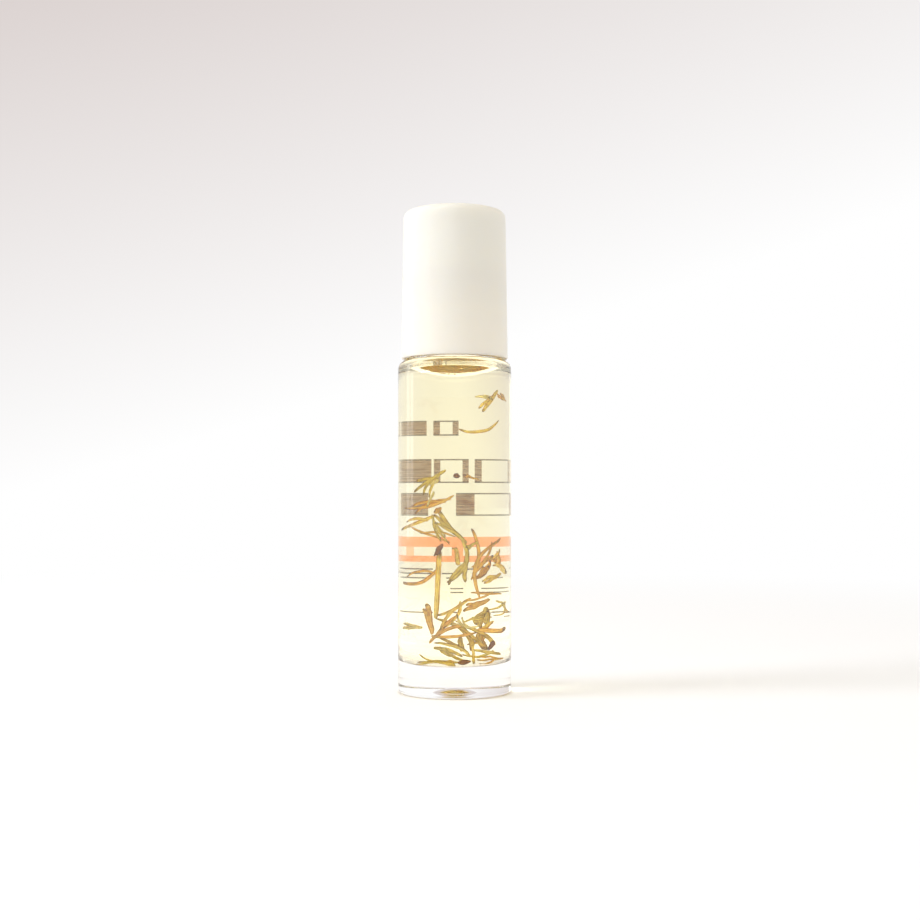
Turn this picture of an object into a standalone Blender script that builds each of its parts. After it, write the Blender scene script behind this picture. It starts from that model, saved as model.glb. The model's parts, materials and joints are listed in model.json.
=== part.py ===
"""Roll-on essential oil bottle: clear glass, pale oil with dried herbs in it, a film label on the back, a ball held
in a plug in the neck, and a screw cap with a soft pad that shuts the ball. Metres, +Z up, the origin at the middle of
the foot on the bottle's axis. The front looks along -Y and the label is on the +Y side.
"""

import math

import bmesh
import bpy
from mathutils import Vector

MM = 0.001

# Fits between the pieces
FIT_GAP = 0.3 * MM  # between a piece and the seat it rests on
PRESS_GAP = 0.1 * MM  # where the real piece is pressed or stuck on
BALL_PLAY = 0.15 * MM  # all round the ball in its socket

# Glass bottle
BODY_DIAMETER = 20.0 * MM
SHOULDER_HEIGHT = 58.5 * MM
GLASS_WALL = 1.5 * MM
SHOULDER_GLASS = 1.15 * MM
BASE_GLASS = 5.2 * MM
SHOULDER_ROUND = 1.5 * MM
CEILING_ROUND = 1.6 * MM
FLOOR_ROUND = 3.0 * MM
HEEL_ROUND = 0.6 * MM
FOOT_RING_WIDTH = 1.5 * MM
FOOT_RECESS = 0.3 * MM
DIMPLE_DIAMETER = 5.4 * MM
DIMPLE_RISE = 0.85 * MM
NECK_DIAMETER = 14.6 * MM
NECK_HEIGHT = 14.5 * MM
NECK_ROOT_ROUND = 0.6 * MM
BORE_DIAMETER = 10.4 * MM
BORE_EDGE_ROUND = 0.6 * MM
LIP_ROUND = 0.5 * MM

# Screw thread, rounded as moulded glass is
THREAD_LEAD = 3.175 * MM
THREAD_TURNS = 1.5
THREAD_BELOW_LIP = 1.6 * MM
NECK_RIDGE_RADIUS = 0.75 * MM
CAP_RIDGE_RADIUS = 0.7 * MM
CAP_THREAD_START_SHARE = -0.15
RUN_OUT_SHARE = 0.12
RIDGE_END_SHARE = 0.35

# Oil
BUBBLE_DIAMETER = 10.8 * MM
BUBBLE_DEPTH = 2.2 * MM
HOLLOW_RUN_OUT = 1.2 * MM  # past a herb's end, out through the oil's side

# Label film on the back
LABEL_WIDTH = 26.0 * MM
LABEL_HEIGHT = 43.0 * MM
LABEL_ABOVE_FOOT = 9.5 * MM
LABEL_THICKNESS = 0.1 * MM

# Ball and the plug that holds it
BALL_DIAMETER = 10.0 * MM
BALL_ABOVE_LIP = 3.0 * MM
SOCKET_WALL = 1.15 * MM
SOCKET_RIM_ABOVE_CENTRE = 1.9 * MM
RIM_ROUND = 0.4 * MM
FLANGE_THICKNESS = 1.0 * MM
FLANGE_INSET = 0.2 * MM
PLUG_LENGTH = 8.0 * MM
PLUG_WALL = 1.0 * MM
PLUG_RIB_HEIGHT = 0.25 * MM
PLUG_RIB_PITCH = 2.0 * MM
PLUG_RIBS = 3
PLUG_NOSE = 0.7 * MM
WEB_THICKNESS = 1.2 * MM
FEED_HOLE_DIAMETER = 6.0 * MM

# Cap
CAP_BOTTOM_DIAMETER = 18.8 * MM
CAP_TOP_DIAMETER = 18.0 * MM
CAP_TOP_WALL = 1.2 * MM
CAP_TOP_ROUND = 1.2 * MM
CAP_EDGE_ROUND = 0.25 * MM
CAP_THREAD_BORE = 16.7 * MM
CAP_UPPER_BORE = 15.8 * MM
CAP_STEP_ABOVE_LIP = 0.5 * MM
LINER_THICKNESS = 2.0 * MM
LINER_DISH_DIAMETER = 7.0 * MM
LINER_DISH_DEPTH = 0.8 * MM

# Herbs: half the width of each kind, and how full its ends are
HALF_WIDTHS = {
    "leaf": 0.36 * MM,
    "thin_leaf": 0.24 * MM,
    "broad_leaf": 0.46 * MM,
    "petal": 0.60 * MM,
    "stem": 0.42 * MM,
    "stalk": 0.22 * MM,
    "bud": 0.42 * MM,
}
TIP_SHARES = {
    "leaf": 0.25,
    "thin_leaf": 0.25,
    "broad_leaf": 0.3,
    "petal": 0.3,
    "stem": 0.85,
    "stalk": 0.8,
    "bud": 0.45,
}

# Each herb lies between two ends. An end is (across, deep, up): across and deep are shares of the room at that
# height, from the axis to the right wall and from the middle to the back wall, and up is a share of the chamber's
# height. The first end leans on the glass, where deep is 1 or -1. An end whose up is 0 lies on the floor. The bow is
# a share of the herb's own length.
HERB_SHARES = [
    ("leaf_01", "leaf", "gold", (0.82, -1, 0.910), (0.54, -0.62, 0.852), 0),
    ("leaf_02", "thin_leaf", "pale", (0.73, -1, 0.886), (0.40, -0.55, 0.893), -0.05),
    ("leaf_03", "thin_leaf", "brown", (0.96, -1, 0.884), (0.76, -0.41, 0.905), 0),
    ("leaf_04", "leaf", "gold", (0.81, -1, 0.805), (0.18, -0.68, 0.781), 0.14),
    ("leaf_05", "leaf", "olive", (-0.75, -1, 0.585), (-0.22, -0.52, 0.645), 0),
    ("leaf_06", "thin_leaf", "brown", (0.21, -1, 0.628), (0.46, -1, 0.619), 0),
    ("leaf_07", "leaf", "brown", (-0.90, -1, 0.523), (-0.11, -0.68, 0.556), -0.08),
    ("leaf_08", "leaf", "gold", (-0.97, -1, 0.454), (-0.38, -0.35, 0.494), -0.03),
    ("leaf_09", "thin_leaf", "brown", (-0.79, -1, 0.457), (-0.17, -0.61, 0.418), 0),
    ("leaf_10", "thin_leaf", "olive", (-0.15, -1, 0.415), (-0.40, -0.70, 0.492), 0.06),
    ("leaf_11", "broad_leaf", "olive", (0.18, -1, 0.419), (-0.28, -0.86, 0.505), 0.05),
    ("leaf_12", "thin_leaf", "olive", (0.45, -1, 0.412), (0.25, -1, 0.398), 0),
    ("leaf_13", "leaf", "brown", (-0.94, -1, 0.272), (-0.28, -0.36, 0.322), -0.18),
    ("leaf_14", "broad_leaf", "gold", (0.04, -1, 0.391), (0.08, -1, 0.343), 0),
    ("leaf_15", "broad_leaf", "olive", (-0.05, -1, 0.292), (0.19, -0.70, 0.404), -0.17),
    ("leaf_16", "leaf", "brown", (0.81, -1, 0.411), (0.41, -0.67, 0.254), -0.19),
    ("leaf_17", "leaf", "gold", (0.87, -1, 0.382), (0.49, 0.45, 0.351), 0),
    ("leaf_18", "leaf", "brown", (0.25, 1, 0.288), (0.54, 0.06, 0.342), 0),
    ("leaf_19", "broad_leaf", "pale", (0.97, -1, 0.312), (0.57, 0.48, 0.330), 0),
    ("leaf_20", "leaf", "gold", (0.88, -1, 0.303), (0.54, -0.36, 0.276), 0),
    ("leaf_21", "thin_leaf", "brown", (0.86, -1, 0.239), (0.38, -0.90, 0.246), 0),
    ("leaf_22", "broad_leaf", "brown", (0.66, -1, 0.220), (0.22, -0.89, 0.190), 0),
    ("leaf_23", "leaf", "gold", (-0.26, -1, 0.138), (0.21, -0.51, 0.218), 0.05),
    ("leaf_24", "petal", "brown", (-0.61, -1, 0.185), (-0.47, -1, 0.118), 0.06),
    ("leaf_25", "leaf", "pale", (-0.96, -1, 0.122), (-0.62, -0.52, 0.128), 0),
    ("leaf_26", "thin_leaf", "pale", (0.07, -1, 0.167), (0.40, -0.72, 0.132), -0.2),
    ("leaf_27", "thin_leaf", "olive", (0.64, -1, 0.182), (0.18, -0.36, 0.149), 0),
    ("leaf_28", "leaf", "pale", (0.31, 1, 0.178), (0.33, 1, 0.130), 0),
    ("leaf_29", "thin_leaf", "olive", (0.96, -1, 0.208), (0.46, 0.60, 0.180), 0),
    ("leaf_30", "leaf", "brown", (-0.46, -1, 0.090), (0.11, -0.39, 0.134), 0.06),
    ("leaf_31", "leaf", "olive", (-0.10, 1, 0.138), (0.22, 0.56, 0.054), 0.1),
    ("leaf_32", "leaf", "gold", (0.30, 1, 0.047), (0.40, 0.70, 0.130), 0.1),
    ("leaf_33", "petal", "pale", (0.88, 1, 0.112), (0.88, 1, 0.057), 0),
    ("leaf_34", "leaf", "olive", (-0.37, -1, 0.066), (0.09, -0.29, 0.034), 0.05),
    ("leaf_35", "leaf", "olive", (-0.12, 1, 0.074), (0.20, 0.11, 0.034), 0),
    ("leaf_36", "thin_leaf", "olive", (-0.83, -1, 0), (0.09, -0.70, 0), 0.04),
    ("leaf_37", "leaf", "gold", (-0.32, -1, 0), (-0.03, -1, 0), 0),
    ("leaf_38", "leaf", "olive", (0.87, -1, 0.039), (0.34, -0.30, 0.052), 0),
    ("leaf_39", "thin_leaf", "brown", (0.95, -1, 0.020), (0.50, -0.42, 0.017), 0),
    ("stem_01", "stem", "gold", (-0.38, -1, 0.166), (-0.28, -0.63, 0.380), 0),
    ("stem_02", "stalk", "pale", (-0.41, -1, 0.578), (-0.55, -1, 0.530), 0),
    ("stem_03", "stem", "brown", (0.96, -1, 0.120), (0.32, 0.55, 0.112), 0.04),
    ("stem_04", "stalk", "gold", (0.51, -1, 0), (0.32, -0.58, 0.072), 0),
    ("bud_01", "bud", "dark", (-0.02, -1, 0.632), (0.11, -1, 0.630), 0),
    ("bud_02", "bud", "pale", (-0.33, -1, 0.622), (-0.50, -1, 0.600), 0),
    ("bud_03", "bud", "brown", (-0.27, -1, 0.527), (-0.42, -1, 0.507), 0),
    ("bud_04", "bud", "dark", (-0.24, -1, 0.407), (-0.42, -1, 0.366), 0),
    ("bud_05", "bud", "dark", (0.79, -1, 0.084), (0.68, -1, 0.056), 0),
    ("bud_06", "bud", "dark", (0.09, -1, 0), (0.37, -1, 0.020), 0),
]

# How finely round shapes are cut
TURN_STEPS = 40
BALL_STEPS = 24
BALL_RINGS = 14
ARC_STEPS = 3
SMALL_ARC_STEPS = 2
DOME_STEPS = 3
SOCKET_STEPS = 7
HELIX_STEPS = 16  # to a turn
HERB_POINTS = 6
FULLNESS_POWER = 0.7
SECTION_STEPS = 1  # a strand's bevel resolution: six sides
SHARP_ANGLE = math.radians(40)
MERGE = 0.00001  # doubles on the axis of a turned shape

# Places worked out from the sizes
BODY_RADIUS = BODY_DIAMETER / 2
CHAMBER_RADIUS = BODY_RADIUS - GLASS_WALL
CHAMBER_FLOOR = BASE_GLASS
CHAMBER_CEILING = SHOULDER_HEIGHT - SHOULDER_GLASS
CHAMBER_HEIGHT = CHAMBER_CEILING - CHAMBER_FLOOR
NECK_RADIUS = NECK_DIAMETER / 2
BORE_RADIUS = BORE_DIAMETER / 2
LIP = SHOULDER_HEIGHT + NECK_HEIGHT
BALL_RADIUS = BALL_DIAMETER / 2
BALL_CENTRE = LIP + BALL_ABOVE_LIP
SOCKET_RADIUS = BALL_RADIUS + BALL_PLAY
CAP_BOTTOM = SHOULDER_HEIGHT + FIT_GAP
LINER_BOTTOM = BALL_CENTRE + BALL_RADIUS + FIT_GAP
CAP_CEILING = LINER_BOTTOM + LINER_THICKNESS + FIT_GAP
CAP_TOP = CAP_CEILING + CAP_TOP_WALL


def clear_scene():
    for obj in list(bpy.data.objects):
        bpy.data.objects.remove(obj, do_unlink=True)


def make_collection(name, helper=False):
    group = bpy.data.collections.new(name)
    bpy.context.scene.collection.children.link(group)
    group.hide_render = helper
    return group


def make_material(name, colour, roughness, metallic=0.0, alpha=1.0, transmission=0.0):
    made = bpy.data.materials.new(name)
    made.use_nodes = True
    shader = made.node_tree.nodes["Principled BSDF"]
    shader.inputs["Base Color"].default_value = (*colour, 1.0)
    shader.inputs["Roughness"].default_value = roughness
    shader.inputs["Metallic"].default_value = metallic
    shader.inputs["Alpha"].default_value = alpha
    shader.inputs["Transmission Weight"].default_value = transmission
    made.diffuse_color = (*colour, alpha)
    return made


def add_object(name, data, group, material=None):
    obj = bpy.data.objects.new(name, data)
    group.objects.link(obj)
    if material:
        obj.data.materials.append(material)
    return obj


def bake(obj):
    """Keeps the shape that the modifiers make, welds a curve's caps to its sides, and shades it smooth."""
    graph = bpy.context.evaluated_depsgraph_get()
    shape = bpy.data.meshes.new_from_object(obj.evaluated_get(graph))
    work = bmesh.new()
    work.from_mesh(shape)
    bmesh.ops.remove_doubles(work, verts=work.verts, dist=MERGE)
    work.to_mesh(shape)
    work.free()
    shape.shade_smooth()
    shape.set_sharp_from_angle(angle=SHARP_ANGLE)
    if obj.type == "MESH":
        obj.modifiers.clear()
        obj.data = shape
        return obj
    name, group = obj.name, obj.users_collection[0]
    place = obj.matrix_world.copy()
    bpy.data.objects.remove(obj, do_unlink=True)
    solid = add_object(name, shape, group)
    solid.matrix_world = place
    return solid


def arc(radius, height, size, start, end, steps=ARC_STEPS):
    """Points of an arc of the given size round (radius, height), from one angle in degrees to another."""
    angles = [math.radians(start + (end - start) * i / steps) for i in range(steps + 1)]
    return [(radius + size * math.cos(a), height + size * math.sin(a)) for a in angles]


def dome(radius, rim_height, rise, steps=DOME_STEPS):
    """Points of a shallow bowl or dome, from its rim to the axis. A negative rise makes it hang down."""
    ball = (radius**2 + rise**2) / (2 * abs(rise))
    half_angle = math.asin(radius / ball)
    points = []
    for i in range(steps + 1):
        angle = half_angle * (1 - i / steps)
        drop = ball * (1 - math.cos(angle))
        points.append((ball * math.sin(angle), rim_height + rise - math.copysign(drop, rise)))
    return points


def turned(name, profile, group, material=None):
    """Turns a profile of (radius, height) points round the Z axis. It runs down the outer side."""
    mesh = bpy.data.meshes.new(name)
    points = [(radius, 0, height) for radius, height in profile]
    closed = profile[0][0] > MERGE
    edges = [(i, i + 1) for i in range(len(points) - 1)]
    if closed:
        edges.append((len(points) - 1, 0))
    mesh.from_pydata(points, edges, [])
    obj = add_object(name, mesh, group, material)
    screw = obj.modifiers.new("turn", "SCREW")
    screw.steps = TURN_STEPS
    screw.render_steps = TURN_STEPS
    screw.use_merge_vertices = True
    screw.merge_threshold = MERGE
    screw.use_smooth_shade = True
    return obj


def drawn(name, points, radii, group, material=None):
    """A round tapering strand through the points, as a mesh."""
    widest = max(radii)
    curve = bpy.data.curves.new(name, "CURVE")
    curve.dimensions = "3D"
    curve.bevel_depth = widest
    curve.bevel_resolution = SECTION_STEPS
    curve.use_fill_caps = True
    spline = curve.splines.new("POLY")
    spline.points.add(len(points) - 1)
    for knot, place, radius in zip(spline.points, points, radii):
        knot.co = (*place, 1)
        knot.radius = radius / widest
    return bake(add_object(name, curve, group, material))


def boolean(obj, operation, other=None, others=None):
    change = obj.modifiers.new(operation.lower(), "BOOLEAN")
    change.operation = operation
    if other:
        change.object = other
    else:
        change.operand_type = "COLLECTION"
        change.collection = others


def helix(core_radius, ridge_radius, start_turn, drop):
    """Points and radii of a thread ridge on a core of that radius. It runs out at both ends."""
    lowest = LIP - THREAD_BELOW_LIP - NECK_RIDGE_RADIUS - THREAD_TURNS * THREAD_LEAD
    count = round(THREAD_TURNS * HELIX_STEPS)
    points, radii = [], []
    for i in range(count + 1):
        share = i / count
        turn = start_turn + THREAD_TURNS * share
        angle = 2 * math.pi * turn
        height = lowest + THREAD_LEAD * turn - drop
        points.append((core_radius * math.cos(angle), core_radius * math.sin(angle), height))
        near_end = min(share, 1 - share) / RUN_OUT_SHARE
        full = RIDGE_END_SHARE + (1 - RIDGE_END_SHARE) * min(1, near_end)
        radii.append(ridge_radius * full)
    return points, radii


def chamber_outline(inset=0.0):
    """The chamber's wall from its ceiling down to the floor's middle, drawn in by the inset."""
    radius, floor, ceiling = CHAMBER_RADIUS - inset, CHAMBER_FLOOR + inset, CHAMBER_CEILING - inset
    top_round, floor_round = CEILING_ROUND - inset, FLOOR_ROUND - inset
    upper = arc(radius - top_round, ceiling - top_round, top_round, 90, 0)
    lower = arc(radius - floor_round, floor + floor_round, floor_round, 0, -90, ARC_STEPS + 1)
    return upper + lower + [(0, floor)]


def make_glass_bottle(group, helpers, material):
    inside = chamber_outline()[::-1]
    edge_middle = CHAMBER_CEILING + BORE_EDGE_ROUND
    bore_edge = arc(BORE_RADIUS + BORE_EDGE_ROUND, edge_middle, BORE_EDGE_ROUND, 270, 180, SMALL_ARC_STEPS)
    lip_inner = arc(BORE_RADIUS + LIP_ROUND, LIP - LIP_ROUND, LIP_ROUND, 180, 90, SMALL_ARC_STEPS)
    lip_outer = arc(NECK_RADIUS - LIP_ROUND, LIP - LIP_ROUND, LIP_ROUND, 90, 0, SMALL_ARC_STEPS)
    root_middle = SHOULDER_HEIGHT + NECK_ROOT_ROUND
    neck_root = arc(NECK_RADIUS + NECK_ROOT_ROUND, root_middle, NECK_ROOT_ROUND, 180, 270, SMALL_ARC_STEPS)
    shoulder = arc(BODY_RADIUS - SHOULDER_ROUND, SHOULDER_HEIGHT - SHOULDER_ROUND, SHOULDER_ROUND, 90, 0)
    heel = arc(BODY_RADIUS - HEEL_ROUND, HEEL_ROUND, HEEL_ROUND, 0, -90)
    ring_inside = BODY_RADIUS - HEEL_ROUND - FOOT_RING_WIDTH
    recess = [(ring_inside, 0), (ring_inside - FOOT_RECESS, FOOT_RECESS)]
    dimple = dome(DIMPLE_DIAMETER / 2, FOOT_RECESS, DIMPLE_RISE)
    profile = inside + bore_edge + lip_inner + lip_outer + neck_root + shoulder + heel + recess + dimple
    bottle = turned("glass_bottle", profile, group, material)
    ridge = drawn("neck_ridge", *helix(NECK_RADIUS, NECK_RIDGE_RADIUS, 0, 0), helpers)
    boolean(bottle, "UNION", ridge)
    return bake(bottle)


def room_radius(height, inset):
    """The chamber's radius at a height, when it is drawn in all round by the inset."""
    below = CHAMBER_FLOOR + FLOOR_ROUND - height
    if below <= 0:
        return CHAMBER_RADIUS - inset
    corner = FLOOR_ROUND - inset
    return CHAMBER_RADIUS - FLOOR_ROUND + math.sqrt(max(0, corner**2 - below**2))


def herb_end(end_shares, inset):
    across, deep, up = end_shares
    height = CHAMBER_FLOOR + max(inset, up * CHAMBER_HEIGHT)
    reach = room_radius(height, inset)
    return Vector((across * reach, deep * reach * math.sqrt(1 - across**2), height))


def herb_spine(start, end, bow):
    """Points between two ends, bowed in the plane that faces the front."""
    along = end - start
    sideways = Vector((-along.z, 0, along.x)).normalized() * along.length * bow
    points = []
    for i in range(HERB_POINTS):
        share = i / (HERB_POINTS - 1)
        points.append(start + along * share + sideways * 4 * share * (1 - share))
    return points


def herb_radii(kind, extra=0.0):
    """The herb's radius at each point of its spine: full in the middle and fine at its ends."""
    tip = TIP_SHARES[kind]
    radii = []
    for i in range(HERB_POINTS):
        fullness = max(0, math.sin(math.pi * i / (HERB_POINTS - 1))) ** FULLNESS_POWER
        radii.append(HALF_WIDTHS[kind] * (tip + (1 - tip) * fullness) + extra)
    return radii


def make_herbs(group, hollows, materials):
    """Each herb, and the hollow that it leaves in the oil, which runs out where the herb leans on the glass."""
    for name, kind, colour, start, end, bow in HERB_SHARES:
        inset = FIT_GAP + HALF_WIDTHS[kind]
        spine = herb_spine(herb_end(start, inset), herb_end(end, inset), bow)
        drawn(name, spine, herb_radii(kind), group, materials[colour])
        before = (spine[0] - spine[1]).normalized() * HOLLOW_RUN_OUT
        after = (spine[-1] - spine[-2]).normalized() * FIT_GAP
        room = [spine[0] + before] + spine[1:-1] + [spine[-1] + after]
        drawn(name + "_hollow", room, herb_radii(kind, FIT_GAP), hollows)


def make_oil(group, hollows, material):
    """The oil fills the chamber up to a bubble under the bore, and is hollow where the herbs lie."""
    outline = chamber_outline(FIT_GAP)
    rim_height = outline[0][1]
    bubble = dome(BUBBLE_DIAMETER / 2, rim_height, -BUBBLE_DEPTH)[::-1]
    oil = turned("oil", bubble + outline, group, material)
    boolean(oil, "DIFFERENCE", others=hollows)
    return bake(oil)


def make_label(group, material):
    """A film bent round the back of the bottle: an upright line turned through the film's angle, then thickened."""
    radius = BODY_RADIUS + PRESS_GAP
    angle = LABEL_WIDTH / radius
    mesh = bpy.data.meshes.new("back_label")
    side = (math.pi - angle) / 2
    foot = (radius * math.cos(side), radius * math.sin(side))
    top = LABEL_ABOVE_FOOT + LABEL_HEIGHT
    mesh.from_pydata([(*foot, top), (*foot, LABEL_ABOVE_FOOT)], [(0, 1)], [])
    label = add_object("back_label", mesh, group, material)
    screw = label.modifiers.new("turn", "SCREW")
    screw.angle = angle
    screw.steps = TURN_STEPS // 2
    screw.render_steps = TURN_STEPS // 2
    film = label.modifiers.new("film", "SOLIDIFY")
    film.thickness = LABEL_THICKNESS
    film.offset = 1
    return bake(label)


def plug_outline():
    """The plug's outside below the flange: ribs that grip the bore, then a nose."""
    rib_radius = BORE_RADIUS - PRESS_GAP
    core_radius = rib_radius - PLUG_RIB_HEIGHT
    points = [(core_radius, LIP + PRESS_GAP)]
    for i in range(PLUG_RIBS):
        middle = LIP - PLUG_RIB_PITCH * (i + 1)
        points.append((core_radius, middle + PLUG_RIB_HEIGHT * 2))
        points.append((rib_radius, middle))
        points.append((core_radius, middle - PLUG_RIB_HEIGHT))
    bottom = LIP - PLUG_LENGTH
    points.append((core_radius, bottom + PLUG_NOSE))
    points.append((core_radius - PLUG_NOSE / 2, bottom))
    return points


def make_roller_housing(group, material):
    cup_radius = SOCKET_RADIUS + SOCKET_WALL
    rim = BALL_CENTRE + SOCKET_RIM_ABOVE_CENTRE
    rim_angle = math.degrees(math.asin(SOCKET_RIM_ABOVE_CENTRE / SOCKET_RADIUS))
    feed_radius = FEED_HOLE_DIAMETER / 2
    feed_angle = -math.degrees(math.acos(feed_radius / SOCKET_RADIUS))
    web_top = BALL_CENTRE - math.sqrt(SOCKET_RADIUS**2 - feed_radius**2)
    flange_radius = NECK_RADIUS - FLANGE_INSET
    flange_top = LIP + PRESS_GAP + FLANGE_THICKNESS
    plug_inside = BORE_RADIUS - PRESS_GAP - PLUG_RIB_HEIGHT - PLUG_WALL
    outside = arc(cup_radius - RIM_ROUND, rim - RIM_ROUND, RIM_ROUND, 90, 0, SMALL_ARC_STEPS)
    outside += [(cup_radius, flange_top), (flange_radius, flange_top), (flange_radius, LIP + PRESS_GAP)]
    outside += plug_outline()
    inside = [
        (plug_inside, LIP - PLUG_LENGTH),
        (plug_inside, web_top - WEB_THICKNESS),
        (feed_radius, web_top - WEB_THICKNESS),
    ]
    socket = arc(0, BALL_CENTRE, SOCKET_RADIUS, feed_angle, rim_angle, SOCKET_STEPS)
    return bake(turned("roller_housing", outside + inside + socket, group, material))


def make_ball(group, material):
    mesh = bpy.data.meshes.new("roller_ball")
    work = bmesh.new()
    bmesh.ops.create_uvsphere(work, u_segments=BALL_STEPS, v_segments=BALL_RINGS, radius=BALL_RADIUS)
    work.to_mesh(mesh)
    work.free()
    mesh.shade_smooth()
    ball = add_object("roller_ball", mesh, group, material)
    ball.location = (0, 0, BALL_CENTRE)
    return ball


def make_cap(group, helpers, material):
    outer_bottom, outer_top = CAP_BOTTOM_DIAMETER / 2, CAP_TOP_DIAMETER / 2
    thread_bore, upper_bore = CAP_THREAD_BORE / 2, CAP_UPPER_BORE / 2
    step = LIP + CAP_STEP_ABOVE_LIP
    outside = [(0, CAP_TOP)]
    outside += arc(outer_top - CAP_TOP_ROUND, CAP_TOP - CAP_TOP_ROUND, CAP_TOP_ROUND, 90, 0)
    edge_middle = CAP_BOTTOM + CAP_EDGE_ROUND
    outside += arc(outer_bottom - CAP_EDGE_ROUND, edge_middle, CAP_EDGE_ROUND, 0, -90, SMALL_ARC_STEPS)
    inside = [
        (thread_bore + CAP_EDGE_ROUND, CAP_BOTTOM),
        (thread_bore, CAP_BOTTOM + CAP_EDGE_ROUND),
        (thread_bore, step),
        (upper_bore, step + thread_bore - upper_bore),
        (upper_bore, CAP_CEILING),
        (0, CAP_CEILING),
    ]
    cap = turned("cap", outside + inside, group, material)
    path = helix(thread_bore, CAP_RIDGE_RADIUS, CAP_THREAD_START_SHARE, THREAD_LEAD / 2)
    ridge = drawn("cap_ridge", *path, helpers)
    boolean(cap, "UNION", ridge)
    return bake(cap)


def make_liner(group, material):
    """The soft pad under the cap's top, dished where it meets the ball."""
    radius = CAP_UPPER_BORE / 2 - FIT_GAP
    top = LINER_BOTTOM + LINER_THICKNESS
    dish = dome(LINER_DISH_DIAMETER / 2, LINER_BOTTOM, LINER_DISH_DEPTH)
    return bake(turned("cap_liner", [(0, top), (radius, top), (radius, LINER_BOTTOM)] + dish, group, material))


def make_bottle():
    clear_scene()
    group = make_collection("roll_on_oil_bottle")
    helpers = make_collection("cutters", helper=True)
    hollows = make_collection("herb_hollows", helper=True)
    clear_glass = make_material("clear_glass", (0.95, 0.97, 0.96), 0.02, alpha=0.3, transmission=1.0)
    pale_oil = make_material("pale_oil", (0.93, 0.86, 0.55), 0.05, alpha=0.55)
    white_cap = make_material("white_cap_plastic", (0.91, 0.88, 0.83), 0.35)
    natural_plastic = make_material("natural_plastic", (0.86, 0.87, 0.85), 0.4)
    soft_pad = make_material("soft_pad", (0.80, 0.80, 0.78), 0.7)
    ball_steel = make_material("ball_steel", (0.75, 0.76, 0.78), 0.12, metallic=1.0)
    label_film = make_material("label_film", (0.95, 0.72, 0.60), 0.3, alpha=0.5)
    herbs = {
        "olive": make_material("olive_leaf", (0.30, 0.27, 0.07), 0.6),
        "gold": make_material("gold_leaf", (0.62, 0.42, 0.10), 0.55),
        "pale": make_material("pale_leaf", (0.66, 0.60, 0.33), 0.55),
        "brown": make_material("brown_leaf", (0.45, 0.20, 0.05), 0.55),
        "dark": make_material("dark_bud", (0.09, 0.04, 0.03), 0.6),
    }
    make_glass_bottle(group, helpers, clear_glass)
    make_herbs(group, hollows, herbs)
    make_oil(group, hollows, pale_oil)
    make_label(group, label_film)
    make_roller_housing(group, natural_plastic)
    make_ball(group, ball_steel)
    make_liner(group, soft_pad)
    make_cap(group, helpers, white_cap)
    for helper in list(helpers.objects) + list(hollows.objects):
        helper.hide_render = True
        helper.display_type = "WIRE"


make_bottle()
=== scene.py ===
# %% [markdown]
# # A roll-on bottle of oil with dried herbs
#
# The object is a small clear glass bottle. It holds pale oil with dried leaves, stems and buds in it. A
# clear printed film is stuck on its back, a steel ball sits in a plug in its neck, and a white cap screws
# down over the ball.
#
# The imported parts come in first, as a fixed frame. Their solids are right in size but coarse, so each gets
# a finer piece that stands in the same place. Everything is in metres, with +Z up and the front towards -Y.

# %% Load the frame
import json
import math
import random

import bmesh
import bpy
from mathutils import Matrix, Vector, noise


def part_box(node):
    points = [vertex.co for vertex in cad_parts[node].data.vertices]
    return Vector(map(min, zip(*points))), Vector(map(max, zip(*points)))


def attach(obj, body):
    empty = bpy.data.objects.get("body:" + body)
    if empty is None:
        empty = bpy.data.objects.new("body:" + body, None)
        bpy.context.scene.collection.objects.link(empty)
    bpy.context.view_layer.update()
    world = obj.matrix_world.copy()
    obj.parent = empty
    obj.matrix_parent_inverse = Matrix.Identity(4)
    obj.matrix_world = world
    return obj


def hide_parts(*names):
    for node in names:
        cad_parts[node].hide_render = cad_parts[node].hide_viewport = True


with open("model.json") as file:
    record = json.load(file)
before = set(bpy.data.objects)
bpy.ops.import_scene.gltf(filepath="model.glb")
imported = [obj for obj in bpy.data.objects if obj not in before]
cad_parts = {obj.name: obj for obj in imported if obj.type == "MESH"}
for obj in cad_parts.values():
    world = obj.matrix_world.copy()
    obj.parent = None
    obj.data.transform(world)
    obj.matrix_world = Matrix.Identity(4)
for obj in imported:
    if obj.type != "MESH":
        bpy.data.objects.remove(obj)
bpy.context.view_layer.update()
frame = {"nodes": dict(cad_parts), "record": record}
print("parts in the frame:", len(frame["nodes"]))

# %% [markdown]
# ## Sizes
#
# Every size that the frame can give is read from it, so the fine pieces fit the coarse ones. The boxes of
# the parts tell where the lip, the shoulder and the floor of the chamber are. What a box can't tell, such
# as a wall's round or the radius of an edge, has a value of its own in the cell of its piece.

# %% Sizes that the frame gives
MM = 0.001
FIT = 0.3 * MM  # the gap that the parts keep where they rest on each other
PRESS = 0.1 * MM  # the gap where they are pressed or stuck on

_, glass_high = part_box("glass_bottle")
oil_low, oil_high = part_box("oil")
cap_low, cap_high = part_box("cap")
pad_low, pad_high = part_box("cap_liner")
ball_low, ball_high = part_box("roller_ball")
plug_low, plug_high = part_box("roller_housing")
label_low, label_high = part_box("back_label")

BODY_RADIUS = glass_high.x
LIP = glass_high.z
SHOULDER = cap_low.z - FIT
ROOM_RADIUS = oil_high.x + FIT
ROOM_FLOOR = oil_low.z - FIT
ROOM_CEILING = oil_high.z + FIT
BALL_RADIUS = (ball_high.z - ball_low.z) / 2
BALL_MIDDLE = (ball_high.z + ball_low.z) / 2
CAP_TOP = cap_high.z
CAP_BOTTOM_RADIUS = cap_high.x
for title, size in (("lip", LIP), ("shoulder", SHOULDER), ("room radius", ROOM_RADIUS), ("cap top", CAP_TOP)):
    print(f"{title}: {size / MM:.2f} mm")

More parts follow.
